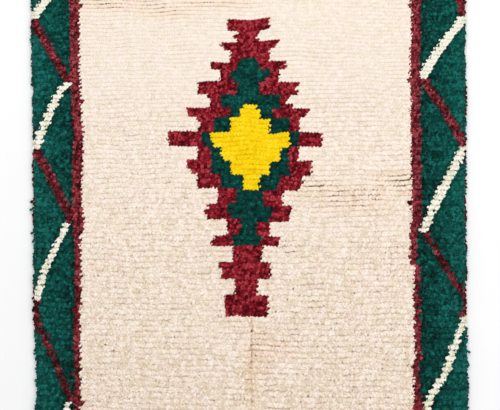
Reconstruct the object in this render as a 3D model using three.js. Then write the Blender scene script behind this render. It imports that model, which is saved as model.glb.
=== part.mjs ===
import * as THREE from 'three';

// A small hand-knotted wool pile rug, lying flat with its pile up.
//
// It is one piece of cloth, so it is one solid: a flat-woven ground with rows of knots tied into
// it. The top rises and falls with the rows, each row ends in a tapered lock at either selvedge,
// and at both ends a narrow strip of bare ground holds the knots in.
//
// X runs across the rug, Y along its warps and Z up. The origin is on the floor under the middle.
// Rows are counted from the +Y end. All sizes are in millimetres.

// Driving dimensions
const rugLength = 1500;
const knotsAcross = 132;
const knotPitch = 6.95;
const rowCount = 148;
const endStrip = 20; // bare flat weave beyond the first and the last row
const groundHeight = 3; // warps and wefts, without the pile
const pileHeight = 14; // from the ground to the tips of the knots
const furrowDepth = 2.8; // from the crest of a row down to the parting beside it
const crestShare = 0.66; // the pile leans, so a row's crest lies nearer its -Y side
const endSlope = 3; // how far the pile spreads over the bare strips at its foot
const shoulderDrop = 2.4; // how much lower the pile is along the selvedges
const woolColour = 0xefe0ca;

// The weaver beat the rows down hard at first and less so later, which sets their pitch.
const beating = [
  { row: 0, pitch: 8.2 },
  { row: 62, pitch: 8.2 },
  { row: 78, pitch: 9.9 },
  { row: 106, pitch: 11.2 },
  { row: rowCount, pitch: 12.4 },
];

// How far each selvedge lies inwards of a straight line.
const selvedge = [
  { y: -750, left: 6, right: 2 },
  { y: -450, left: 6, right: 0.5 },
  { y: -360, left: 3, right: 0.5 },
  { y: -280, left: 2.5, right: 0.5 },
  { y: -150, left: -0.5, right: 0.5 },
  { y: 40, left: -0.5, right: 1.5 },
  { y: 150, left: -1.5, right: 0.5 },
  { y: 240, left: -4, right: 3.5 },
  { y: 750, left: -2, right: 2 },
];

// The rows droop towards the right: by how much, 350 mm to the right of the middle.
const droop = [
  { y: -750, depth: 0 },
  { y: -500, depth: 21 },
  { y: 200, depth: 0 },
  { y: 750, depth: 0 },
];

// Places where the pile has parted further between its rows, fading out all round.
const partings = [
  { x: 250, y: -47, halfWidth: 150, halfLength: 48, depth: 1.8 },
  { x: -200, y: 345, halfWidth: 190, halfLength: 32, depth: 1.6 },
];

// An old fold, which shows as a shallow trough along the warps.
const foldTrough = { x: 2, y: -530, halfWidth: 16, halfLength: 210, depth: 2.4 };

// The locks along both selvedges, with the size of their blunt tips against their roots.
const lock = { shortest: 3, longest: 8, tipShare: 0.34, droop: 4.5, sweep: 2.5 };

// Where the top has points across the rug, as a share of its half width.
const acrossShares = [-1, -0.972, -0.62, -0.3, -0.03, 0, 0.03, 0.3, 0.62, 0.972, 1];

const halfWidth = (knotsAcross * knotPitch) / 2;
const halfLength = rugLength / 2;
const pileEnd = halfLength - endStrip;

// A value read from one column of a table, eased between its stations.
function along(table, key, column, at) {
  const after = table.findIndex((station) => station[key] >= at);
  if (after <= 0) return table.at(after)[column];
  const [low, high] = [table[after - 1], table[after]];
  const share = THREE.MathUtils.smoothstep(at, low[key], high[key]);
  return THREE.MathUtils.lerp(low[column], high[column], share);
}

// The lines between the rows, from +Y to -Y: one more line than there are rows.
function rowLines() {
  const pitches = Array.from({ length: rowCount }, (_, row) => along(beating, 'row', 'pitch', row));
  const fit = (2 * pileEnd) / pitches.reduce((sum, pitch) => sum + pitch, 0);
  const lines = [pileEnd];
  pitches.forEach((pitch) => lines.push(lines.at(-1) - pitch * fit));
  return lines;
}

// A steady number from 0 to 1 for each index, with no pattern to the eye.
function scatter(index) {
  const wave = Math.sin(index * 12.9898 + 4.1) * 43758.5453;
  return wave - Math.floor(wave);
}

// The selvedge on one side, -1 for the left and 1 for the right.
function selvedgeX(side, y) {
  return side * (halfWidth - along(selvedge, 'y', side < 0 ? 'left' : 'right', y));
}

// Rows aren't quite straight: they droop to the right and bow a little, but not at both ends.
function bow(x, y) {
  const fade = Math.cos((Math.PI / 2) * (y / halfLength));
  const waves = 1.2 * Math.sin(x / 118 + y / 260) + 0.8 * Math.sin(x / 61 - y / 97);
  return fade * waves - (along(droop, 'y', 'depth', y) * (x + 400)) / 750;
}

// The slow rise and fall of the pile.
function lump(x, y) {
  return 0.9 * Math.sin(x / 104 + 1.3) * Math.cos(y / 91) + 0.8 * Math.sin(x / 122 - y / 43);
}

// How deep a soft-edged hollow is at this place.
function hollow({ x, y, halfWidth: wide, halfLength: long, depth }, atX, atY) {
  const across = Math.min(Math.abs(atX - x) / wide, 1);
  const lengthways = Math.min(Math.abs(atY - y) / long, 1);
  return depth * (0.5 + 0.5 * Math.cos(Math.PI * across)) * (0.5 + 0.5 * Math.cos(Math.PI * lengthways));
}

// The height of the pile at the crest of a row.
function crestHeight(share, x, y) {
  const shoulder = Math.abs(share) === 1 ? shoulderDrop : 0;
  return groundHeight + pileHeight + lump(x, y) - hollow(foldTrough, x, y) - shoulder;
}

// The height of the pile in the parting between two rows.
function furrowHeight(share, x, y) {
  const parted = partings.reduce((deepest, parting) => Math.max(deepest, hollow(parting, x, y)), 0);
  return crestHeight(share, x, y) - furrowDepth - parted;
}

// Collects the points and the faces of the closed surface.
class Skin {
  points = [];
  faces = [];

  point(x, y, z) {
    this.points.push(x, y, z);
    return this.points.length / 3 - 1;
  }

  at(index) {
    return new THREE.Vector3().fromArray(this.points, index * 3);
  }

  // Corners run anticlockwise as seen from outside.
  face(...corners) {
    for (let i = 1; i < corners.length - 1; i += 1) this.faces.push(corners[0], corners[i], corners[i + 1]);
  }

  // A face of the left selvedge, or its mirror image on the right.
  sideFace(side, ...corners) {
    this.face(...(side < 0 ? corners : corners.reverse()));
  }

  geometry() {
    const geometry = new THREE.BufferGeometry();
    geometry.setAttribute('position', new THREE.Float32BufferAttribute(this.points, 3));
    geometry.setIndex(this.faces);
    geometry.computeVertexNormals();
    return geometry;
  }
}

// One line of points across the rug, at the height that a function gives.
function lineAcross(skin, y, height) {
  return acrossShares.map((share) => {
    const x = Math.abs(share) * selvedgeX(Math.sign(share), y);
    return skin.point(x, y + bow(x, y), height(share, x, y));
  });
}

// A lock: the four corners of its root are drawn out to a small blunt tip that droops.
function addLock(skin, side, root, index) {
  const middle = new THREE.Vector3();
  root.forEach((corner) => middle.addScaledVector(skin.at(corner), 1 / root.length));
  const reach = THREE.MathUtils.lerp(lock.shortest, lock.longest, scatter(index));
  const out = new THREE.Vector3(side * reach, -lock.sweep * scatter(index + 0.5), -lock.droop);
  const tip = root.map((corner) => {
    const at = middle.clone().lerp(skin.at(corner), lock.tipShare).add(out);
    return skin.point(at.x, at.y, at.z);
  });
  root.forEach((corner, i) => {
    const next = (i + 1) % root.length;
    skin.sideFace(side, corner, root[next], tip[next], tip[i]);
  });
  skin.sideFace(side, ...tip);
}

// The end of a row at a selvedge: its lock, and the edge of the ground under it.
function addRowEnd(skin, side, [back, crest, front], [footBack, footFront], index) {
  const under = skin.at(footBack).lerp(skin.at(footFront), 0.5);
  const low = skin.point(under.x, under.y, groundHeight);
  addLock(skin, side, [back, low, front, crest], index);
  skin.sideFace(side, footBack, low, back);
  skin.sideFace(side, footBack, footFront, low);
  skin.sideFace(side, footFront, front, low);
}

// The top, line by line from +Y to -Y: a bare strip, the rows and the other bare strip.
function addTop(skin) {
  const bare = () => groundHeight;
  const lines = rowLines();
  const top = [lineAcross(skin, halfLength, bare), lineAcross(skin, pileEnd + endSlope, bare)];
  lines.forEach((y, row) => {
    top.push(lineAcross(skin, y, furrowHeight));
    if (row < rowCount) {
      top.push(lineAcross(skin, THREE.MathUtils.lerp(y, lines[row + 1], crestShare), crestHeight));
    }
  });
  top.push(lineAcross(skin, -pileEnd - endSlope, bare), lineAcross(skin, -halfLength, bare));

  for (let i = 0; i < top.length - 1; i += 1) {
    for (let j = 0; j < acrossShares.length - 1; j += 1) {
      skin.face(top[i][j], top[i + 1][j], top[i + 1][j + 1], top[i][j + 1]);
    }
  }
  return top;
}

function rugGeometry() {
  const skin = new Skin();
  const top = addTop(skin);
  const last = acrossShares.length - 1;

  // The underside is flat, with points below every line of the top but the crests.
  const isFoot = (i) => i < 2 || i > top.length - 3 || i % 2 === 0;
  const footed = top.map((_, i) => i).filter(isFoot);
  const drop = (corner) => skin.point(skin.at(corner).x, skin.at(corner).y, 0);
  const feet = footed.map((i) => [drop(top[i][0]), drop(top[i][last])]);
  feet.slice(1).forEach((front, k) => skin.face(feet[k][0], feet[k][1], front[1], front[0]));

  // The selvedges: plain beside the bare strips, and a lock at each row.
  footed.slice(1).forEach((to, k) => {
    const from = footed[k];
    [[-1, 0, 0], [1, last, 1]].forEach(([side, column, end]) => {
      const under = [feet[k][end], feet[k + 1][end]];
      const over = top.slice(from, to + 1).map((line) => line[column]);
      if (over.length === 3) addRowEnd(skin, side, over, under, side * k);
      else skin.sideFace(side, ...under, over[1], over[0]);
    });
  });

  // The cut edge of the ground at both ends.
  skin.face(feet[0][0], ...top[0], feet[0][1]);
  skin.face(feet.at(-1)[1], ...top.at(-1).reverse(), feet.at(-1)[0]);
  return skin.geometry();
}

const rug = new THREE.Group();
const cloth = new THREE.Mesh(
  rugGeometry(),
  new THREE.MeshStandardMaterial({ color: woolColour, roughness: 0.95, metalness: 0 }),
);
cloth.name = 'rug';
rug.add(cloth);

export default rug;
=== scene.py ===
from types import SimpleNamespace

import bpy
import numpy as np
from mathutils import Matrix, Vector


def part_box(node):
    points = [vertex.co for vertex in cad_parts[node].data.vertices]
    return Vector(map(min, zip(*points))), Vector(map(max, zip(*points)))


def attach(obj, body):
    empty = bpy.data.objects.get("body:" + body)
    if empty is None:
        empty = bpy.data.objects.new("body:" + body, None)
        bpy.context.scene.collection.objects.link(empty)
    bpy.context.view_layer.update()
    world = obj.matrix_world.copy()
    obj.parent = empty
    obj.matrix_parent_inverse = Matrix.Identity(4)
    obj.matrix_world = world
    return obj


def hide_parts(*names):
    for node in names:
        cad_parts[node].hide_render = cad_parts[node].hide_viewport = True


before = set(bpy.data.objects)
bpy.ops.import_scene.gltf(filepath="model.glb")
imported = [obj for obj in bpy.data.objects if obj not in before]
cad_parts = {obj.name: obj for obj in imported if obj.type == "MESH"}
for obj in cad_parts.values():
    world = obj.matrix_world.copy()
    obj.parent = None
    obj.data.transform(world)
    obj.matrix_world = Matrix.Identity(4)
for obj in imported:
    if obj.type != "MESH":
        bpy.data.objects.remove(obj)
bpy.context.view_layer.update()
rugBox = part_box("rug")
dice = np.random.default_rng(31)

# The weave, in metres. Rows are counted from the far (+Y) end, knots from the left selvedge.
weave = {
    "knots": 132,
    "knotPitch": 0.00695,
    "rows": 148,
    "endStrip": 0.020,  # bare flat weave past the first and the last row
    "groundHeight": 0.003,
    "pileHeight": 0.014,
    "rootDepth": 0.0012,  # how deep a yarn end starts inside the ground
}
# Beaten down hard at first and less so later, so the rows get wider. Pitches in millimetres.
beating = {"row": [0, 62, 78, 106, 148], "pitch": [8.2, 8.2, 9.9, 11.2, 12.4]}
# How far each selvedge lies inwards of a straight line, in millimetres.
selvedge = {
    "y": [-0.75, -0.45, -0.36, -0.28, -0.15, 0.04, 0.15, 0.24, 0.75],
    "left": [6, 6, 3, -0.5, -0.5, -0.5, -1.5, -4, -2],
    "right": [2, -4, -0.5, 0.5, 0.5, 1.5, 0.5, 3.5, 2],
}
# How far the warps beside each border and in the middle have drifted to the right, in millimetres.
warpDrift = {
    "y": [-0.75, -0.48, -0.40, -0.33, -0.28, -0.21, -0.14, -0.06, 0.0, 0.06, 0.13, 0.2, 0.28, 0.75],
    "left": [-3, -3.5, -1.5, -0.5, 4.0, 4.0, 1.5, -1.8, -0.8, 1.6, -3.0, -4.4, -4.4, -4.4],
    "right": [1, 4.0, 3.6, 0.6, 0.6, 0.0, 1.0, 4.2, 3.6, 1.8, 1.0, 1.2, 3.8, 3.0],
    "middle": [0, -4.2, -4.2, -4.2, -4.2, -4.5, 0, 0, 0, 0, 0, 0, 0, 0],
}
# How much of it the warps share, from the middle of the rug (0) to a selvedge (1).
borderDrift = {"across": [0.3, 0.75, 0.85, 1], "share": [0, 1, 0.8, 0]}
middleDrift = {"across": [0.15, 0.45], "share": [1, 0]}
# How deep the rows droop at the right, in metres, and from where they fall.
droop = {"y": [-0.75, -0.5, 0.2, 0.75], "depth": [0, 0.021, 0, 0], "levelX": -0.4, "deepX": 0.35}
# How the rows bow: the depth of each wave, and its lengths along X and Y.
bowWaves = [{"depth": 0.0012, "x": 0.118, "y": 0.26}, {"depth": 0.0008, "x": 0.061, "y": -0.097}]
halfWidth = weave["knots"] * weave["knotPitch"] / 2
pileEnd = (rugBox[1].y - rugBox[0].y) / 2 - weave["endStrip"]


# A column of a table, straight between its stations. The first column says where they are.
def straight(table, column, at):
    return np.interp(at, next(iter(table.values())), table[column])


# The same, but eased between the stations.
def eased(table, column, at):
    places = next(iter(table.values()))
    after = np.clip(np.searchsorted(places, at), 1, len(places) - 1)
    low, high = np.take(places, after - 1), np.take(places, after)
    share = np.clip((at - low) / (high - low), 0, 1)
    share = share * share * (3 - 2 * share)
    return np.take(table[column], after - 1) * (1 - share) + np.take(table[column], after) * share


# The left or the right column of a table in millimetres, eased and in metres.
def onSide(table, isLeft, y):
    return np.where(isLeft, eased(table, "left", y), eased(table, "right", y)) / 1000


# Slanting waves, added up.
def waved(waves, x, y):
    return sum(wave["depth"] * np.sin(x / wave["x"] + y / wave["y"]) for wave in waves)


# The lines between the rows, one more than there are rows.
def rowLines():
    pitch = eased(beating, "pitch", np.arange(weave["rows"]))
    return pileEnd - np.concatenate([[0], np.cumsum(pitch)]) * 2 * pileEnd / pitch.sum()


# Where a line across the rug lies. across is -1 at the left selvedge and 1 at the right one.
def acrossX(across, y):
    drift = onSide(warpDrift, across < 0, y) * straight(borderDrift, "share", np.abs(across))
    drift = drift + eased(warpDrift, "middle", y) / 1000 * straight(middleDrift, "share", np.abs(across))
    return across * (halfWidth - onSide(selvedge, across < 0, y)) + drift


# The rows droop towards the right and bow a little, and straighten towards both ends.
def bow(x, y):
    fade = np.cos(np.pi / 2 * y / (pileEnd + weave["endStrip"]))
    fall = (x - droop["levelX"]) / (droop["deepX"] - droop["levelX"])
    return fade * waved(bowWaves, x, y) - eased(droop, "depth", y) * fall


# How far the rows beside the middle have drifted towards -Y, in millimetres.
rowDrift = {
    "y": [-0.40, -0.29, -0.222, -0.158, -0.094, 0.0, 0.058, 0.116, 0.169, 0.215, 0.258, 0.302, 0.36],
    "left": [0, -3, 1, -1, -3, -3, 2, 0, 0, 0, -2, 0, 0],
    "right": [0, -2, -2, -2, 6, 4.5, 6.5, 4, 0, -2, -6, -5, 0],
}
# How much of it they share, by their distance from the middle.
rowDriftShare = {"fromMiddle": [0, 0.04, 0.15, 0.22], "share": [0, 1, 1, 0]}
# Finer ripples along the rows, in metres. The bold ones sway, and come and go.
ripples = {
    "bold": {
        "depth": 0.0018, "x": 0.033, "sway": 1.3, "swayY": 0.071, "fadeX": 0.11, "fadeY": 0.047, "phase": 2,
    },
    "fine": [{"depth": 0.0010, "x": 0.017, "y": 0.03}],
}


# How far the rows of the pile lie off the rows of the ground. It keeps their distance.
def ripple(x, y):
    bold = ripples["bold"]
    fade = np.sin(y / bold["fadeY"] + x / bold["fadeX"] + bold["phase"])
    wave = bold["depth"] * np.sin(x / bold["x"] + bold["sway"] * np.sin(y / bold["swayY"])) * fade
    drift = onSide(rowDrift, x < 0, y) * straight(rowDriftShare, "share", np.abs(x))
    return wave + waved(ripples["fine"], x, y) - drift


# The slow rise and fall of the pile, in metres.
swell = {
    "lumps": {"depth": 0.0009, "x": 0.104, "y": 0.091, "phase": 1.3},
    "ridges": [{"depth": 0.0008, "x": 0.122, "y": -0.043}],
}


def lump(x, y):
    lumps = swell["lumps"]
    high = lumps["depth"] * np.sin(x / lumps["x"] + lumps["phase"]) * np.cos(y / lumps["y"])
    return high + waved(swell["ridges"], x, y)


# How strong a soft-edged patch is at each place, from 0 to 1.
def patch(x, y, place):
    across = np.clip(np.abs(x - place["x"]) / place["halfWidth"], 0, 1)
    along = np.clip(np.abs(y - place["y"]) / place["halfLength"], 0, 1)
    return (0.5 + 0.5 * np.cos(np.pi * across)) * (0.5 + 0.5 * np.cos(np.pi * along))


# The pattern, knot by knot. Each wool has a number in the chart.
woolNumbers = {"cream": 0, "green": 1, "red": 2, "yellow": 3, "ivory": 4, "madder": 5}
# The medallion's steps from +Y to -Y: how many rows a step has, and how many knots each wool
# reaches to the left and to the right of the middle knot.
medallion = {
    "firstRow": 50,
    "middleKnot": 65,
    "steps": [
        {"rows": 3, "red": (6, 6)},
        {"rows": 3, "red": (3, 3)},
        {"rows": 2, "red": (8, 9)},
        {"rows": 2, "red": (5, 6)},
        {"rows": 1, "red": (5, 6), "green": (2, 2)},
        {"rows": 2, "red": (11, 11), "green": (3, 3)},
        {"rows": 3, "red": (8, 9), "green": (5, 6)},
        {"rows": 3, "red": (15, 15), "green": (3, 3)},
        {"rows": 2, "red": (11, 12), "green": (8, 9)},
        {"rows": 1, "red": (11, 12), "green": (8, 9), "yellow": (1, 2)},
        {"rows": 2, "red": (18, 18), "green": (5, 7), "yellow": (2, 3)},
        {"rows": 3, "red": (15, 15), "green": (10, 12), "yellow": (5, 6)},
        {"rows": 3, "red": (24, 22), "green": (14, 15), "yellow": (11, 12)},
        {"rows": 3, "red": (15, 15), "green": (11, 12), "yellow": (8, 9)},
        {"rows": 3, "red": (18, 19), "green": (11, 12), "yellow": (5, 6)},
        {"rows": 3, "red": (15, 16), "green": (8, 9), "yellow": (1, 3)},
        {"rows": 3, "red": (9, 10), "green": (3, 4)},
        {"rows": 3, "red": (12, 12), "green": (6, 7)},
        {"rows": 3, "red": (6, 6), "green": (2, 2)},
        {"rows": 2, "red": (10, 9), "green": (5, 4)},
        {"rows": 3, "red": (4, 4)},
        {"rows": 3, "red": (7, 7)},
        {"rows": 3, "red": (3, 3)},
        {"rows": 4, "red": (6, 6)},
    ],
}
# How often a row of a step strays by a knot. Where the next step is narrower, the corners are
# often a knot short.
strays = {
    "red": {"shorter": 0.03, "longer": 0.06, "cutCorner": 0.12},
    "green": {"shorter": 0.0, "longer": 0.0, "cutCorner": 0.7},
    "yellow": {"shorter": 0.0, "longer": 0.0, "cutCorner": 0.2},
}
# The borders, in knots from their own selvedge. The guard stripe and the zigzag's legs change at
# the rows given, and legs of 2.5 knots are 2 and 3 wide by turns. The zigzag's middle runs through
# its turns, each a row and a knot. On both sides "\" legs are red and "/" legs ivory.
borders = {
    "left": {
        "guard": [{"row": 0, "start": 12, "end": 15}, {"row": 98, "start": 12, "end": 14}],
        "legs": [
            {"row": 0, "knots": 3}, {"row": 65, "knots": 2.5}, {"row": 82, "knots": 3},
            {"row": 96, "knots": 2},
        ],
        "turns": [
            (-7, 0.6), (8, 11), (23, 0.6), (37, 11), (50, 0.3), (58.5, 6.1), (65.2, 11.2),
            (66.5, 10.6), (69, 7.8), (77, 2.7), (81, 0.5), (95.2, 11.6), (95.8, 10.6), (104.5, 3.7),
            (111, 0.5), (114.8, 0.6), (118, 3.1), (124, 7.2), (128.2, 11), (145, 0.6), (160, 11),
        ],
    },
    "right": {
        "guard": [
            {"row": 0, "start": 14, "end": 17}, {"row": 96, "start": 15, "end": 17},
            {"row": 103, "start": 14, "end": 16}, {"row": 120, "start": 15, "end": 17},
            {"row": 127, "start": 14, "end": 17},
        ],
        "legs": [{"row": 0, "knots": 3}, {"row": 96, "knots": 2}, {"row": 117, "knots": 2.5}],
        "turns": [
            (-10, 0.6), (4.5, 13), (19, 0.6), (33.5, 13), (44, 1.4), (48.4, 0.4), (50.7, 1.7),
            (58, 8.5), (64.3, 13.1), (66, 12.4), (79.5, 0.5), (80.5, 0.6), (91, 9.2), (96.6, 13.2),
            (108.3, 0.5), (111.1, 0.4), (114.5, 1.9), (119.5, 5.0), (123, 7.9), (127, 12.6),
            (128.3, 13.2), (144, 0.6), (159, 13),
        ],
    },
}
guardStray = 0.03  # how often a row of the guard stripe is a knot longer
# How far a row's knots in each border lie inwards of whole knots, so that the legs run straight.
legShift = {"left": np.zeros(weave["rows"]), "right": np.zeros(weave["rows"])}


# The entry that holds at a row, because it is the last to start.
def entryAt(entries, row):
    return [entry for entry in entries if entry["row"] <= row][-1]


def chartBorder(chart, side):
    border = borders[side]
    turnRow, turnKnot = np.transpose(border["turns"])
    knots = np.arange(weave["knots"]) if side == "left" else np.arange(weave["knots"])[::-1]
    for row in range(weave["rows"]):
        guard = entryAt(border["guard"], row)
        end = guard["end"] + dice.choice([0, 1], p=[1 - guardStray, guardStray])
        chart[row, knots[:guard["start"]]] = woolNumbers["green"]
        chart[row, knots[guard["start"]:end]] = woolNumbers["madder"]

        leg = np.searchsorted(turnRow, row, side="right")
        goesInwards = turnKnot[leg] > turnKnot[leg - 1]
        wool = "madder" if goesInwards == (side == "left") else "ivory"
        wide = int(entryAt(border["legs"], row)["knots"] + 0.5 * (row % 2))
        middle = np.interp(row + 0.5, turnRow, turnKnot)
        first = round(middle - wide / 2)
        legShift[side][row] = middle - wide / 2 - first
        chart[row, knots[max(first, 0):min(first + wide, guard["start"])]] = woolNumbers[wool]


def chartMedallion(chart):
    row, steps = medallion["firstRow"], medallion["steps"]
    for step, following in zip(steps, steps[1:] + [{}]):
        for wool, chances in strays.items():
            if wool not in step:
                continue
            left, right = step[wool]
            narrows = sum(following.get(wool, (0, 0))) < left + right
            for deeper in range(step["rows"]):
                isCorner = narrows and deeper > 0 and deeper == step["rows"] - 1
                shorter = chances["cutCorner"] if isCorner else chances["shorter"]
                odds = [shorter, 1 - shorter - chances["longer"], chances["longer"]]
                stray = dice.choice([-1, 0, 1], 2, p=odds)
                first = medallion["middleKnot"] - left - stray[0]
                last = medallion["middleKnot"] + right + stray[1]
                chart[row + deeper, first:last + 1] = woolNumbers[wool]
        row += step["rows"]


print("charting the pattern")
chart = np.zeros((weave["rows"], weave["knots"]), int)
chartBorder(chart, "left")
chartBorder(chart, "right")
chartMedallion(chart)


# One output of a material's nodes. Arithmetic on it adds Math nodes.
class Wire:
    def __init__(self, finish, socket):
        self.finish = finish
        self.socket = socket

    def __add__(self, other):
        return self.finish.math("ADD", self, other)

    def __sub__(self, other):
        return self.finish.math("SUBTRACT", self, other)

    def __rsub__(self, other):
        return self.finish.math("SUBTRACT", other, self)

    def __mul__(self, other):
        return self.finish.math("MULTIPLY", self, other)

    __radd__ = __add__
    __rmul__ = __mul__


# A material being put together around its Principled shader.
class Finish:
    def __init__(self, name, settings):
        self.material = bpy.data.materials.new(name)
        self.material.use_nodes = True
        self.tree = self.material.node_tree
        self.shader = self.tree.nodes["Principled BSDF"]
        for socket, value in settings.items():
            self.shader.inputs[socket].default_value = value

    def join(self, value, socket):
        if isinstance(value, Wire):
            self.tree.links.new(value.socket, socket)
        else:
            socket.default_value = value

    # Any node: its type, its settings and what goes into its sockets.
    def node(self, kind, settings, sockets, output=0):
        made = self.tree.nodes.new(kind)
        for name, value in settings.items():
            setattr(made, name, value)
        for socket, value in sockets.items():
            self.join(value, made.inputs[socket])
        return Wire(self, made.outputs[output])

    def math(self, operation, first, second):
        return self.node("ShaderNodeMath", {"operation": operation}, {0: first, 1: second})

    def sine(self, value):
        return self.node("ShaderNodeMath", {"operation": "SINE"}, {0: value})

    def limited(self, value):
        return self.node("ShaderNodeClamp", {}, {"Value": value})

    def mixed(self, share, first, second, blend="MIX"):
        settings = {"data_type": "RGBA", "blend_type": blend}
        return self.node("ShaderNodeMix", settings, {0: share, 6: first, 7: second}, output=2)

    def tinted(self, share, colour, tint):
        return self.mixed(share, colour, tint, blend="MULTIPLY")

    def attribute(self, name, output="Fac"):
        return self.node("ShaderNodeAttribute", {"attribute_name": name}, {}, output)

    def objectPlace(self):
        return self.node("ShaderNodeTexCoord", {}, {}, "Object")

    # Noise on Object coordinates, or on a place that is given.
    def noise(self, scale, detail=2, place=None):
        sockets = {"Vector": place or self.objectPlace(), "Scale": scale, "Detail": detail}
        return self.node("ShaderNodeTexNoise", {}, sockets)

    def stretched(self, vector, factors):
        return self.node("ShaderNodeVectorMath", {"operation": "MULTIPLY"}, {0: vector, 1: factors})

    def split(self, vector, axis):
        return self.node("ShaderNodeSeparateXYZ", {}, {0: vector}, axis)

    def bump(self, height, distance):
        return self.node("ShaderNodeBump", {}, {"Height": height, "Distance": distance, "Strength": 1.0})


# An sRGB colour, from 0 to 255, made linear.
def dye(red, green, blue):
    shares = np.array([red, green, blue]) / 255
    linear = np.where(shares <= 0.04045, shares / 12.92, ((shares + 0.055) / 1.055) ** 2.4)
    return (*linear, 1)


# The wools: their dark, middle and light plies, their root colours, which are painted shade deep in the pile,
# and how blotchy they are.
wools = {
    "cream": {
        "dark": dye(230, 212, 193), "middle": dye(250, 237, 227), "light": dye(255, 249, 245),
        "root": dye(220, 186, 140), "blotchScale": 60, "blotches": 0.3, "unevenness": 1,
    },
    "green": {
        "dark": dye(0, 26, 26), "middle": dye(4, 68, 61), "light": dye(26, 116, 108),
        "root": dye(2, 30, 26), "blotchScale": 120, "blotches": 0.9, "unevenness": 0.95,
    },
    "red": {
        "dark": dye(62, 0, 10), "middle": dye(132, 16, 30), "light": dye(184, 64, 76),
        "root": dye(56, 2, 8), "blotchScale": 300, "blotches": 0.9, "unevenness": 1.6,
    },
    "madder": {
        "dark": dye(48, 4, 10), "middle": dye(118, 32, 40), "light": dye(172, 76, 84),
        "root": dye(46, 10, 14), "blotchScale": 300, "blotches": 0.9, "unevenness": 1.55,
    },
    "yellow": {
        "dark": dye(238, 190, 0), "middle": dye(250, 214, 8), "light": dye(255, 228, 48),
        "root": dye(206, 150, 2), "blotchScale": 90, "blotches": 0.6, "unevenness": 0.8,
    },
    "ivory": {
        "dark": dye(226, 220, 198), "middle": dye(244, 240, 224), "light": dye(255, 252, 242),
        "root": dye(180, 162, 126), "blotchScale": 90, "blotches": 0.5, "unevenness": 2,
    },
}
woolSurface = {"Roughness": 0.95, "Specular IOR Level": 0.08, "Sheen Weight": 0.04, "Sheen Roughness": 0.5}
# How the yarn is spun and dyed.
yarn = {
    "fibreStretch": (9, 1.5, 1),
    "fibreTone": 0.5,
    "fibreBump": 0.0006,
    "tintScale": 45,
    "tintContrast": 3,
    "tints": ((1, 0.99, 1, 1), (0.98, 1, 0.95, 1)),  # the yarn drifts from one to the other
    "warmTint": (1, 0.925, 0.858, 1),
    # The root colour is painted shade deep in the pile.
    "rootShadeReach": 0.84,  # how far up a ply the colour of its root reaches
    "rootShadeFade": 1.7,
}


# Spun wool: each ply has a tone of its own, is darker towards its root, where its root colour is painted
# shade deep in the pile, and has fibres along it.
def makeWool(name):
    wool = wools[name]
    finish = Finish(name + "_wool", woolSurface)
    place = finish.attribute("fibrePlace", "Vector")
    fibres = finish.noise(1.0, place=finish.stretched(place, yarn["fibreStretch"])) - 0.5
    blotches = finish.noise(wool["blotchScale"]) - 0.5
    tone = finish.attribute("plyTone") + fibres * yarn["fibreTone"] + blotches * wool["blotches"]
    low = finish.mixed(finish.limited(tone * 2), wool["dark"], wool["middle"])
    colour = finish.mixed(finish.limited(tone * 2 - 1), low, wool["light"])
    drift = (finish.noise(yarn["tintScale"], 3) - 0.5) * yarn["tintContrast"] + 0.5
    colour = finish.tinted(1.0, colour, finish.mixed(finish.limited(drift), *yarn["tints"]))
    # The warm tint is partly painted shade in the opened pile.
    warm = finish.tinted(1.0, colour, yarn["warmTint"])
    colour = finish.mixed(finish.attribute("plyWarmth"), colour, warm)
    # Painted shade: towards its root each ply takes on its root colour.
    depth = finish.limited((yarn["rootShadeReach"] - finish.split(place, "Y")) * yarn["rootShadeFade"])
    colour = finish.mixed(depth, colour, wool["root"])
    finish.join(colour, finish.shader.inputs["Base Color"])
    finish.join(finish.bump(fibres, yarn["fibreBump"]), finish.shader.inputs["Normal"])
    return finish.material


def deselectAll():
    bpy.ops.object.select_all(action="DESELECT")


# Selects the vertices of the mesh in edit mode for which a test of their place holds.
def selectWhere(piece, test):
    bpy.ops.mesh.select_mode(type="VERT")
    bpy.ops.mesh.select_all(action="DESELECT")
    bpy.ops.object.mode_set(mode="OBJECT")
    for vertex in piece.data.vertices:
        vertex.select = bool(test(vertex.co))
    bpy.ops.object.mode_set(mode="EDIT")


# One ply of a cut yarn end, upright and 1 long: it starts thin, is full at its shoulder and has a
# blunt tip.
plyShape = {"sides": 4, "shoulder": 0.89, "shoulderOnMap": 0.45}
hair = 0.01  # what counts as nothing on a ply that is 1 long


def modelPly():
    deselectAll()
    shoulder = plyShape["shoulder"]
    bpy.ops.mesh.primitive_cone_add(
        vertices=plyShape["sides"], radius1=1, radius2=0, depth=1 - shoulder,
        end_fill_type="TRIFAN", location=(0, 0, (1 + shoulder) / 2))
    piece = bpy.context.object
    bpy.ops.object.transform_apply(location=True, rotation=True, scale=True)
    bpy.ops.object.mode_set(mode="EDIT")
    selectWhere(piece, lambda co: co.z < shoulder + hair and co.xy.length < hair)
    bpy.ops.transform.translate(value=(0, 0, -shoulder))
    bpy.ops.mesh.select_all(action="SELECT")
    bpy.ops.mesh.normals_make_consistent(inside=False)
    bpy.ops.object.mode_set(mode="OBJECT")
    return piece


# The model as arrays: points, corners and, for each corner, its place round and along the ply.
def readPly(piece):
    mesh = piece.data
    points = np.array([vertex.co for vertex in mesh.vertices])
    corners = np.array([loop.vertex_index for loop in mesh.loops])
    starts = np.array([polygon.loop_start for polygon in mesh.polygons])
    places = np.zeros((len(corners), 2))
    for polygon in mesh.polygons:
        loops = list(polygon.loop_indices)
        co = points[corners[loops]]
        turn = np.arctan2(co[:, 1], co[:, 0]) / (2 * np.pi)
        onAxis = np.hypot(co[:, 0], co[:, 1]) < hair
        turn[~onAxis] += turn[~onAxis].max() - turn[~onAxis] > 0.5
        turn[onAxis] = turn[~onAxis].mean()
        places[loops] = np.stack([turn, co[:, 2]], axis=1)
    places[:, 0] -= places[:, 0].min()
    places[:, 0] /= places[:, 0].max()
    return {"points": points, "corners": corners, "starts": starts, "places": places}


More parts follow.
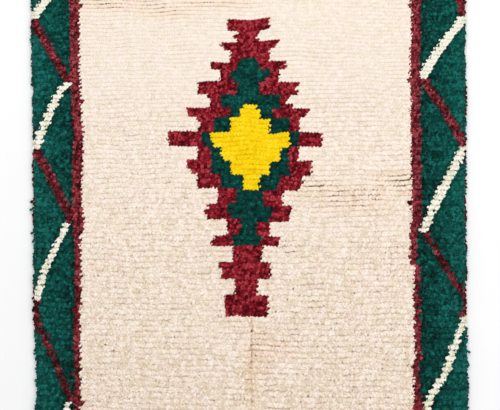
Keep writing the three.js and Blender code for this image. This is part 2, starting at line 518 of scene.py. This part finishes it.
# How the pile stands, in metres where nothing else is said.
pile = {
    "acrossPlies": 2,  # the plies of a knot stand in so many columns
    "alongPlies": 3,  # and in so many lines
    "stagger": 0.25,  # how far each column is shifted, as a share of the distance of the lines
    "girth": 0.0042,  # from the middle of a ply to its corners, at its shoulder
    "girthStray": 0.06,
    "rootSpread": 0.8,  # how far apart they start, against how far apart they end
    "leanCurve": 1.4,  # more than 1 where a ply leans mostly near its tip
    "fullPitch": 0.0084,  # the widest row that a knot's plies fill
    "looseShare": 0.95,  # how much of what a row is wider than that they fill too
    "lean": 0.35,  # how far the tips lie towards -Y, as a share of the row's pitch
    "rowLean": 0.0011,  # how far stretches of a row lean to the left or right together
    "knotLean": 0.0006,
    "plyLean": 0.0007,
    "plyHeight": 0.03,
    "rearDrop": 0.0010,  # how much lower the +Y side of a row is
    "gapDrop": 0.0032,  # and how much more where the pile has opened
    "gapWidth": 0.24,  # how much of a row closes up there
    "ivoryGap": 0.6,  # how far the ivory legs have opened, at least
}
# Looser rows stray more.
looseness = {"pitch": [0.0083, 0.0120], "strays": [0.36, 1.2]}
# Where two wools meet, the one with the higher rank swells into the other with its middle plies
# and draws back with those before and behind them.
bulge = {
    "rank": {"cream": 0, "green": 1, "red": 3, "yellow": 2, "ivory": 4, "madder": 3},
    "reach": 0.0021, "strength": 1.1, "ivoryStrength": 1.2, "tooth": 0.7, "toothStray": 0.45,
}
# How a rim hangs over its selvedge. fromEdge is counted in knots.
rimShape = {
    "fromEdge": [0.25, 1.4],
    "hang": [1, 0],
    "reach": 0.005,  # how far the outermost plies hang past the selvedge, at most
    "strandReach": 0.006,  # and how much further a stray strand lies
    "strands": 0.006,  # how many plies are such strands, as a share
    "drop": 0.0065,
    "girth": 0.8,
    "uprightness": 0.4,  # how much less they lean otherwise
}
# How rows wander along their length: the length and the strength of each wave.
rowWaves = [(0.0192, 1), (0.0107, 0.7)]
gapWaves = [(0.031, 1), (0.013, 1), (0.0071, 1)]
# Where the pile has opened between its rows.
partings = [
    {"x": 0.135, "y": -0.040, "halfWidth": 0.080, "halfLength": 0.024, "strength": 1.25},
    {"x": 0.212, "y": -0.066, "halfWidth": 0.110, "halfLength": 0.036, "strength": 1.15},
    {"x": 0.325, "y": -0.034, "halfWidth": 0.095, "halfLength": 0.036, "strength": 1.25},
    {"x": 0.052, "y": -0.383, "halfWidth": 0.055, "halfLength": 0.030, "strength": 0.9},
    {"x": -0.315, "y": 0.352, "halfWidth": 0.150, "halfLength": 0.028, "strength": 3.2},
    {"x": -0.180, "y": 0.336, "halfWidth": 0.100, "halfLength": 0.022, "strength": 3.0},
    {"x": -0.080, "y": 0.354, "halfWidth": 0.120, "halfLength": 0.020, "strength": 2.8},
]
# How a wave opens gaps in loose rows, and how it breaks up the partings.
gaps = {
    "pitch": [0.0068, 0.0128],
    "looseRows": [0, 1],
    "strength": 0.6,
    "threshold": 0.4,
    "partedMean": 0.95,
    "partedWave": 0.3,
    "partedLimits": (0.15, 1.5),
    "widest": 2,
}
foldTrough = {"x": 0.002, "y": -0.53, "halfWidth": 0.016, "halfLength": 0.21, "depth": 0.0024}
# The line along which the pile has opened in that old fold, and how far.
foldLine = {
    "y": [-0.70, -0.56, -0.50, -0.45, -0.41, -0.375, -0.33, -0.31],
    "x": [0.004, 0.003, 0.0028, 0.0028, 0.0028, 0.0028, 0.0028, 0.0028],
    "opening": [0, 0.4, 0.5, 0.7, 0.75, 0.95, 1.1, 0],
    "spread": [0.006, 0.008, 0.012, 0.014, 0.012, 0.005, 0.004, 0.004],
}
# What the fold does to the plies around it, and to those right at its line.
foldPile = {"push": 0.0019, "sunkShare": 0.2, "sunkDrop": 0.0032, "lineWidth": 0.0025, "lineDrop": 0.0020}


# Waves along each row with phases of their own, so that neighbours in a row go together.
def wandering(waves, x, row):
    phases = dice.uniform(0, 2 * np.pi, (len(waves), weave["rows"]))[:, row]
    return sum(strength * np.sin(x / length + phase) for (length, strength), phase in zip(waves, phases))


# How far the pile has opened between the rows, 1 being wide: strongly in the partings, and here
# and there along every row where the rows are loose.
def openness(x, y, row, pitch):
    wander = wandering(gapWaves, x, row)
    stray = np.clip(wander - gaps["threshold"], 0, 1) * straight(gaps, "looseRows", pitch)
    parted = np.max([place["strength"] * patch(x, y, place) for place in partings], axis=0)
    broken = np.clip(gaps["partedMean"] + gaps["partedWave"] * wander, *gaps["partedLimits"])
    return np.clip(gaps["strength"] * stray + parted * broken, 0, gaps["widest"])


# Which way each boundary between two knots swells, and how strongly.
def swelling():
    rank = np.array([bulge["rank"][name] for name in woolNumbers])[chart]
    isIvory = chart == woolNumbers["ivory"]
    strength = np.where(isIvory[:, :-1] | isIvory[:, 1:], bulge["ivoryStrength"], bulge["strength"])
    return np.pad(strength * np.sign(rank[:, :-1] - rank[:, 1:]), ((0, 0), (1, 1)))


# Which knots lie beside one of the named wools, where that pile throws a shadow.
def besideWool(*names):
    isNamed = np.isin(chart, [woolNumbers[name] for name in names])
    wide = np.pad(isNamed, 1, mode="edge")
    touches = wide[:-2, 1:-1] | wide[2:, 1:-1] | wide[1:-1, :-2] | wide[1:-1, 2:]
    return touches & ~isNamed


# A random number for each knot or for each ply.
def byKnot(plies, spread):
    return spread * np.clip(dice.normal(0, 1, chart.size), -2, 2)[plies.each]


def byPly(plies, spread):
    return spread * dice.normal(0, 1, plies.each.size)


# The plies of the rug, row by row and knot by knot, with their wool and their place in the knot.
def countPlies():
    inKnot = pile["acrossPlies"] * pile["alongPlies"]
    number = np.arange(chart.size * inKnot)
    each = number // inKnot
    plies = SimpleNamespace(each=each, row=each // weave["knots"], knot=each % weave["knots"])
    plies.wool = chart.ravel()[each]
    plies.line = number % inKnot // pile["acrossPlies"]
    plies.isRear = plies.line == 0
    plies.sideways = (number % pile["acrossPlies"] + 0.5) / pile["acrossPlies"] - 0.5
    plies.lengthways = 0.5 - (plies.line + 0.5) / pile["alongPlies"]
    plies.lengthways += np.sign(plies.sideways) * pile["stagger"] / pile["alongPlies"]
    return plies


# Where the middle of each ply's knot lies, and how far the pile has opened there.
def placeKnots(plies):
    lines = rowLines()
    plies.pitch = (lines[:-1] - lines[1:])[plies.row]
    plies.loose = straight(looseness, "strays", plies.pitch)
    across = 2 * (plies.knot + 0.5) / weave["knots"] - 1
    plies.outwards = np.where(across < 0, -1, 1)
    fromSelvedge = np.minimum(plies.knot + 0.5, weave["knots"] - plies.knot - 0.5)
    guardStart = np.where(across < 0, *(borders[side]["guard"][0]["start"] for side in ("left", "right")))
    plies.isBorder = fromSelvedge < guardStart

    # The shift that keeps the legs straight fades out within 3 knots of the selvedge and the guard.
    room = np.clip(np.minimum(fromSelvedge, guardStart - fromSelvedge) / 3, 0, 1)
    shift = np.where(across < 0, legShift["left"][plies.row], legShift["right"][plies.row]) * room
    y = lines[plies.row] - 0.5 * plies.pitch
    plies.middleX = acrossX(across, y) - plies.outwards * shift * weave["knotPitch"]
    plies.middleY = y + bow(plies.middleX, y) + ripple(plies.middleX, y) * (1 - across ** 8)
    opened = openness(plies.middleX, plies.middleY, plies.row, plies.pitch)
    isIvory = plies.wool == woolNumbers["ivory"]
    plies.opened = np.where(isIvory, np.maximum(opened, pile["ivoryGap"]), opened)


# Where each ply starts, how far its tip leans, and its height.
def standPlies(plies):
    wide = plies.sideways * weave["knotPitch"]
    filled = np.minimum(plies.pitch, pile["fullPitch"])
    filled += pile["looseShare"] * np.maximum(plies.pitch - pile["fullPitch"], 0)
    deep = plies.lengthways * filled * (1 - pile["gapWidth"] * plies.opened)
    plies.x = plies.middleX + pile["rootSpread"] * wide
    plies.y = plies.middleY + pile["rootSpread"] * deep + pile["lean"] * plies.pitch

    tipSpread = 1 - pile["rootSpread"]
    stray = byKnot(plies, pile["knotLean"]) + byPly(plies, pile["plyLean"])
    plies.leanX = tipSpread * wide + plies.loose * stray
    plies.leanX += pile["rowLean"] * wandering(rowWaves, plies.middleX, plies.row)
    isMiddle = plies.line == pile["alongPlies"] // 2
    tooth = np.where(isMiddle, bulge["tooth"], -bulge["tooth"]) + byPly(plies, bulge["toothStray"])
    plies.leanX += bulge["reach"] * swelling()[plies.row, plies.knot + (plies.sideways > 0)] * tooth
    stray = byKnot(plies, pile["knotLean"]) + byPly(plies, pile["plyLean"])
    plies.leanY = tipSpread * deep + plies.loose * stray - pile["lean"] * plies.pitch

    height = weave["pileHeight"] + lump(plies.x, plies.y)
    height -= foldTrough["depth"] * patch(plies.x, plies.y, foldTrough)
    plies.height = height * (1 + plies.loose * byPly(plies, pile["plyHeight"])) + weave["rootDepth"]
    plies.height -= plies.isRear * (pile["rearDrop"] + pile["gapDrop"] * plies.opened)


# The pile lies away from the old fold on both sides, and some plies there have sunk.
def openFold(plies):
    fromFold = plies.x - eased(foldLine, "x", plies.y)
    opening = eased(foldLine, "opening", plies.y)
    plies.besideFold = opening * np.exp(-((fromFold / eased(foldLine, "spread", plies.y)) ** 2))
    plies.isSunk = dice.random(plies.each.size) < foldPile["sunkShare"] * plies.besideFold
    plies.atFold = (np.abs(fromFold) < foldPile["lineWidth"]) * opening
    plies.leanX += np.sign(fromFold) * foldPile["push"] * plies.besideFold
    plies.height -= foldPile["sunkDrop"] * plies.isSunk + foldPile["lineDrop"] * plies.atFold


# At the selvedges the plies hang outwards over the edge.
def hangRim(plies):
    fromLeft = plies.knot + 0.5 + plies.sideways
    plies.fromEdge = np.minimum(fromLeft, weave["knots"] - fromLeft)
    plies.hang = straight(rimShape, "hang", plies.fromEdge)
    chance = dice.uniform(0, 1, plies.each.size)
    reach = rimShape["reach"] * chance + rimShape["strandReach"] * (chance > 1 - rimShape["strands"])
    plies.leanX *= 1 - rimShape["uprightness"] * plies.hang
    plies.leanX += plies.outwards * reach * plies.hang
    plies.height -= rimShape["drop"] * plies.hang


# How warm the undyed wool is. In the partings and beside the fold the warm tint is partly painted shade,
# giving the gaps in the opened pile their tan, and partly the wool's own warmer tone; the wool is also warmer
# towards -Y and around the fold.
warmth = {
    "y": [0, 0.2],
    "lengthways": [0.27, 0],
    "partings": 0.87,
    "partingCurve": 0.6,
    "besideFold": 0.47,
    "limit": 0.67,
    "aroundFold": 0.55,
    "foldPatch": {"x": 0.011, "y": -0.41, "halfWidth": 0.052, "halfLength": 0.17},
}


def warmPlies(plies):
    parted = np.max([patch(plies.x, plies.y, place) for place in partings], axis=0)
    warm = warmth["partings"] * parted ** warmth["partingCurve"] + warmth["besideFold"] * plies.besideFold
    warm = np.clip(warm + straight(warmth, "lengthways", plies.y), 0, warmth["limit"])
    warm = np.clip(warm + warmth["aroundFold"] * patch(plies.x, plies.y, warmth["foldPatch"]), 0, 1)
    plies.warmth = warm * (plies.wool == woolNumbers["cream"])


# How light the plies are, from 0 to 1, and what makes them darker or lighter. Some of the darkening is
# painted shade: between the rows, beside lighter and red pile, and at the fold.
tones = {
    "middle": 0.5,
    "byKnot": 0.11,
    "byPly": 0.16,
    "rearShadow": 0.14,  # the +Y side of a row is darker, most of all where the pile has opened
    "rearShadowMean": 0.6,
    "rearShadowWave": 0.3,
    "rearShadowLimit": 1.9,
    "dyedWave": 0.06,
    "greenUneven": {"fromEdge": [0, 8, 12, 16, 30], "share": [0.8, 0.9, 1.25, 1.1, 0.75]},
    "greenLight": {"fromEdge": [0, 12, 20], "tone": [0.22, -0.1, -0.06]},
    "creamShade": {"y": [-0.75, 0, 0.15], "tone": [0.25, 0.063, 0.11]},
    "legShade": {"row": [90, 100], "tone": [0.12, 0.2]},
    # Painted shadow that lighter and red pile throws on the dyed plies beside it.
    "dyedShadowBesideLight": 0.05,
    "greenShadowBesideLight": 0.16,
    "greenShadowBesideRed": 0.12,
    # Painted shade beside the fold, in its sunk plies and along its line.
    "besideFold": 0.02,
    "sunk": 0.2,
    "atFold": 0.2,
}


def tonePlies(plies):
    isCream, isGreen, isIvory, isMadder = (
        plies.wool == woolNumbers[name] for name in ("cream", "green", "ivory", "madder"))
    isDyed = ~isCream & ~isIvory
    uneven = np.array([wools[name]["unevenness"] for name in woolNumbers])[plies.wool]
    uneven = uneven * np.where(isDyed, 1, plies.loose)
    uneven *= np.where(isGreen, straight(tones["greenUneven"], "share", plies.fromEdge), 1)
    tone = tones["middle"] + uneven * (byKnot(plies, tones["byKnot"]) + byPly(plies, tones["byPly"]))

    # Painted shadow between the rows: the +Y side of each row is darker, most of all where the pile has
    # opened.
    darker = tones["rearShadowMean"] + tones["rearShadowWave"] * wandering(rowWaves, plies.x, plies.row) + plies.opened
    tone -= plies.isRear * tones["rearShadow"] * np.clip(darker, 0, tones["rearShadowLimit"])
    tone += isDyed * tones["dyedWave"] * wandering(rowWaves, plies.x, plies.row)
    tone += isGreen * straight(tones["greenLight"], "tone", plies.fromEdge)
    tone -= isCream * straight(tones["creamShade"], "tone", plies.y)
    tone -= isMadder * plies.isBorder * straight(tones["legShade"], "tone", plies.row)

    # Painted shadow beside lighter pile and beside red pile.
    besideLight = besideWool("cream", "yellow", "ivory")[plies.row, plies.knot]
    besideRed = besideWool("red", "madder")[plies.row, plies.knot]
    tone -= isDyed * besideLight * np.where(isGreen, tones["greenShadowBesideLight"], tones["dyedShadowBesideLight"])
    tone -= isGreen * besideRed * tones["greenShadowBesideRed"]
    # Painted shade beside the fold, in its sunk plies and along its line.
    tone -= tones["besideFold"] * plies.besideFold + tones["sunk"] * plies.isSunk
    plies.tone = tone - tones["atFold"] * plies.atFold


# Maroon strands show among the outermost yarn ends, mostly in these rows.
maroonRim = {
    "left": [(83, 96), (108, 116)],
    "right": [(67, 74), (83, 96), (102, 108)],
    "often": 0.75,
    "seldom": 0.08,
    "tone": 0.12,
}


def addMaroonStrands(plies):
    for side, outermost in (("left", 0), ("right", weave["knots"] - 1)):
        share = np.full(weave["rows"], maroonRim["seldom"])
        for first, last in maroonRim[side]:
            share[first:last] = maroonRim["often"]
        isOuter = (plies.knot == outermost) & (plies.fromEdge < 0.5)
        isMaroon = isOuter & (dice.random(chart.size)[plies.each] < share[plies.row])
        plies.wool = np.where(isMaroon, woolNumbers["madder"], plies.wool)
        plies.tone = np.where(isMaroon, maroonRim["tone"], plies.tone)


# Every ply of the rug as arrays: its place, lean, size, wool, tone and warmth.
def layOutPile():
    plies = countPlies()
    placeKnots(plies)
    standPlies(plies)
    openFold(plies)
    hangRim(plies)
    warmPlies(plies)
    tonePlies(plies)
    addMaroonStrands(plies)
    plies.tone = np.clip(plies.tone, 0, 1)
    plies.girth = pile["girth"] * (1 + byPly(plies, pile["girthStray"]))
    plies.girth *= 1 - (1 - rimShape["girth"]) * plies.hang
    plies.turn = dice.uniform(0, np.pi / 2, plies.each.size)
    plies.seed = dice.uniform(0, 50, plies.each.size)
    return plies


# One piece of pile: the chosen plies, each a copy of the model, joined into one mesh.
def makePile(name, model, plies, chosen, material):
    points = model["points"]
    count = int(chosen.sum())
    x, y, leanX, leanY, height, girth, turn = (
        getattr(plies, key)[chosen][:, None]
        for key in ("x", "y", "leanX", "leanY", "height", "girth", "turn"))
    lean = points[:, 2] ** pile["leanCurve"]
    placed = np.stack([
        x + (points[:, 0] * np.cos(turn) - points[:, 1] * np.sin(turn)) * girth + leanX * lean,
        y + (points[:, 0] * np.sin(turn) + points[:, 1] * np.cos(turn)) * girth + leanY * lean,
        weave["groundHeight"] - weave["rootDepth"] + height * points[:, 2],
    ], axis=2)
    corners = model["corners"] + np.arange(count)[:, None] * len(points)
    starts = model["starts"] + np.arange(count)[:, None] * len(model["corners"])

    mesh = bpy.data.meshes.new(name)
    mesh.vertices.add(count * len(points))
    mesh.vertices.foreach_set("co", placed.ravel())
    mesh.loops.add(corners.size)
    mesh.loops.foreach_set("vertex_index", corners.ravel())
    mesh.polygons.add(starts.size)
    mesh.polygons.foreach_set("loop_start", starts.ravel())
    mesh.polygons.foreach_set("use_smooth", np.ones(starts.size, bool))
    mesh.update(calc_edges=True)

    # Each ply has its own small cell of the bake map, with a margin and about half of it for the tip.
    cells = int(np.ceil(np.sqrt(count)))
    cell = np.stack([np.arange(count) % cells, np.arange(count) // cells], axis=1)
    inCell = model["places"].copy()
    inCell[:, 1] = np.interp(inCell[:, 1], [0, plyShape["shoulder"], 1], [0, plyShape["shoulderOnMap"], 1])
    onMap = (cell[:, None, :] + 0.1 + 0.8 * inCell) / cells
    mesh.uv_layers.new(name="OFBake").data.foreach_set("uv", onMap.ravel())
    fibrePlace = np.zeros((count, len(model["corners"]), 3))
    fibrePlace[:, :, :2] = model["places"]
    fibrePlace[:, :, 2] = plies.seed[chosen][:, None]
    mesh.attributes.new("fibrePlace", "FLOAT_VECTOR", "CORNER").data.foreach_set("vector", fibrePlace.ravel())
    for attribute, values in (("plyTone", plies.tone), ("plyWarmth", plies.warmth)):
        byPoint = np.repeat(values[chosen], len(points))
        mesh.attributes.new(attribute, "FLOAT", "POINT").data.foreach_set("value", byPoint)

    piece = bpy.data.objects.new(name, mesh)
    bpy.context.collection.objects.link(piece)
    mesh.materials.append(material)
    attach(piece, "root")
    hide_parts("rug")
    return piece


# The pieces of pile: a wool, and the knots that the piece runs between.
pilePieces = {
    "cream_pile_1": ("cream", 0, 41),
    "cream_pile_2": ("cream", 41, 66),
    "cream_pile_3": ("cream", 66, 91),
    "cream_pile_4": ("cream", 91, 132),
    "green_pile_left": ("green", 0, 30),
    "green_pile_middle": ("green", 30, 100),
    "green_pile_right": ("green", 100, 132),
    "madder_pile_left": ("madder", 0, 60),
    "red_pile": ("red", 0, 132),
    "madder_pile_right": ("madder", 60, 132),
    "yellow_pile": ("yellow", 0, 132),
    "ivory_pile_left": ("ivory", 0, 60),
    "ivory_pile_right": ("ivory", 60, 132),
}

print("modelling a ply")
plyPiece = modelPly()
plyModel = readPly(plyPiece)
bpy.data.objects.remove(plyPiece)

print("laying out the pile")
laidPlies = layOutPile()
woolMaterials = {name: makeWool(name) for name in wools}
for name, (wool, first, last) in pilePieces.items():
    isBetween = (laidPlies.knot >= first) & (laidPlies.knot < last)
    chosen = isBetween & (laidPlies.wool == woolNumbers[wool])
    piece = makePile(name, plyModel, laidPlies, chosen, woolMaterials[wool])
    print("  ", name, int(chosen.sum()), "plies")

# The flat-woven ground, with bare strips at both ends. The pattern shows on its back.
ground = {
    "surface": {"Roughness": 0.92, "Specular IOR Level": 0.2, "Sheen Weight": 0.15},
    "stripRows": 8,
    "threadsInKnot": 2,  # along and across
    "wool": dye(226, 212, 190),
    "shadow": (0.3, 0.24, 0.18, 1),
    "light": 0.62,  # how light it is between its threads, with nothing else added
    "threadTone": 0.16,
    "threadHeight": 0.5,
    "fibres": 0.4,
    "fibreScale": 1400,
    "bump": 0.0008,
}
knotDyes = {
    "cream": dye(232, 216, 194), "green": dye(18, 84, 74), "red": dye(128, 34, 42),
    "yellow": dye(236, 200, 40), "ivory": dye(236, 230, 212), "madder": dye(118, 40, 46),
}


def makeGroundFinish():
    finish = Finish("ground_weave", ground["surface"])
    place = finish.attribute("weavePlace", "Vector")
    turn = 2 * np.pi * ground["threadsInKnot"]
    threads = finish.sine(finish.split(place, "X") * turn) * finish.sine(finish.split(place, "Y") * turn)
    fibres = finish.noise(ground["fibreScale"], 3) * ground["fibres"]
    shade = finish.limited(ground["light"] + threads * ground["threadTone"] + fibres)
    colour = finish.tinted(1 - shade, finish.attribute("knotDye", "Color"), ground["shadow"])
    height = threads * ground["threadHeight"] + fibres
    finish.join(colour, finish.shader.inputs["Base Color"])
    finish.join(finish.bump(height, ground["bump"]), finish.shader.inputs["Normal"])
    return finish.material


# Each face of the back has the dye of its knot, and all other faces are undyed.
def dyeGround(mesh):
    places = mesh.attributes["weavePlace"].data
    dyes = np.array([knotDyes[name] for name in woolNumbers])
    faceDyes = []
    for polygon in mesh.polygons:
        column, line = np.min([places[vertex].vector[:2] for vertex in polygon.vertices], axis=0)
        row = round(line) - ground["stripRows"]
        isBack = polygon.normal.z < -0.5 and 0 <= row < weave["rows"]
        colour = dyes[chart[row, round(column)]] if isBack else ground["wool"]
        faceDyes += [colour] * polygon.loop_total
    mesh.attributes.new("knotDye", "FLOAT_COLOR", "CORNER").data.foreach_set("color", np.ravel(faceDyes))


def makeGround():
    strip = ground["stripRows"]
    lines = np.concatenate([
        np.linspace(pileEnd + weave["endStrip"], pileEnd, strip, endpoint=False),
        rowLines(),
        np.linspace(-pileEnd, -pileEnd - weave["endStrip"], strip + 1)[1:],
    ])
    deselectAll()
    bpy.ops.mesh.primitive_grid_add(
        x_subdivisions=weave["knots"], y_subdivisions=len(lines) - 1, size=2, location=(0, 0, 0))
    piece = bpy.context.object
    piece.name = piece.data.name = "ground"

    # The grid is moved onto the warps and the rows.
    mesh = piece.data
    flat = np.zeros(len(mesh.vertices) * 3)
    mesh.vertices.foreach_get("co", flat)
    flat = flat.reshape(-1, 3)
    column = np.rint((flat[:, 0] + 1) / 2 * weave["knots"]).astype(int)
    line = np.rint((1 - flat[:, 1]) / 2 * (len(lines) - 1)).astype(int)
    y = lines[line]
    x = acrossX(2 * column / weave["knots"] - 1, y)
    mesh.vertices.foreach_set("co", np.stack([x, y + bow(x, y), np.zeros(len(x))], axis=1).ravel())
    weavePlace = np.stack([column, line, np.zeros(len(x))], axis=1).astype(float)
    mesh.attributes.new("weavePlace", "FLOAT_VECTOR", "POINT").data.foreach_set("vector", weavePlace.ravel())

    thicken = piece.modifiers.new("thickness", "SOLIDIFY")
    thicken.thickness = weave["groundHeight"]
    thicken.offset = 1
    bpy.ops.object.modifier_apply(modifier=thicken.name)

    # Under the pile the top is one face.
    bpy.ops.object.mode_set(mode="EDIT")
    selectWhere(piece, lambda co: co.z > weave["groundHeight"] / 2 and abs(co.y) < pileEnd + 0.0005)
    bpy.ops.mesh.dissolve_faces()
    bpy.ops.mesh.select_all(action="DESELECT")
    bpy.ops.object.mode_set(mode="OBJECT")
    dyeGround(mesh)
    mesh.materials.append(makeGroundFinish())
    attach(piece, "root")
    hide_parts("rug")
    return piece


print("weaving the ground")
groundPiece = makeGround()
rugSize = rugBox[1] - rugBox[0]

# The studio: a pale floor, soft light from above and a camera that looks straight down.
studio = {
    "floorSize": 8,
    "floorColour": dye(250, 250, 251),
    "floorSurface": {"Roughness": 0.95, "Specular IOR Level": 0.1},
    "skyColour": (1, 1, 1, 1),
    "skyStrength": 0.62,
    "softboxes": [
        {"name": "key_light", "at": (-0.2, 1.6, 2.6), "turn": (-0.55, -0.07, 0), "size": 2.0, "power": 38.5},
        {"name": "fill_light", "at": (1.6, -1.0, 2.8), "turn": (0.33, 0.5, 0), "size": 2.4, "power": 22},
    ],
}


def makeStudio():
    deselectAll()
    bpy.ops.mesh.primitive_plane_add(size=studio["floorSize"], location=(0, 0, 0))
    floor = bpy.context.object
    floor.name = "floor"
    plain = Finish("floor_paint", studio["floorSurface"])
    plain.join(studio["floorColour"], plain.shader.inputs["Base Color"])
    floor.data.materials.append(plain.material)
    for box in studio["softboxes"]:
        light = bpy.data.lights.new(box["name"], "AREA")
        light.size = box["size"]
        light.energy = box["power"]
        lamp = bpy.data.objects.new(box["name"], light)
        lamp.location = box["at"]
        lamp.rotation_euler = box["turn"]
        bpy.context.collection.objects.link(lamp)
    sky = bpy.data.worlds.new("studio_sky")
    sky.use_nodes = True
    sky.node_tree.nodes["Background"].inputs["Color"].default_value = studio["skyColour"]
    sky.node_tree.nodes["Background"].inputs["Strength"].default_value = studio["skyStrength"]
    bpy.context.scene.world = sky
    bpy.context.scene.view_settings.view_transform = "Standard"


# The photo's frame is 500 x 410 pixels, and the rug's middle lies at its pixel (250, 167.5).
photo = {
    "widthPixels": 500,
    "heightPixels": 410,
    "middle": (250, 167.5),
    "metresPerPixel": 0.00212,
    "lens": 100,  # millimetres, as the sensor
    "sensor": 36,
    "clipEnd": 30,
}


def makeCamera():
    shot = bpy.data.cameras.new("camera")
    shot.lens = photo["lens"]
    shot.sensor_width = photo["sensor"]
    shot.clip_end = photo["clipEnd"]
    away = photo["widthPixels"] * photo["metresPerPixel"] * shot.lens / shot.sensor_width
    x = (photo["widthPixels"] / 2 - photo["middle"][0]) * photo["metresPerPixel"]
    y = (photo["middle"][1] - photo["heightPixels"] / 2) * photo["metresPerPixel"]
    camera = bpy.data.objects.new("camera", shot)
    camera.location = (x, y, away + rugSize.z)
    bpy.context.collection.objects.link(camera)
    bpy.context.scene.camera = camera


print("setting up the studio")
makeStudio()
makeCamera()
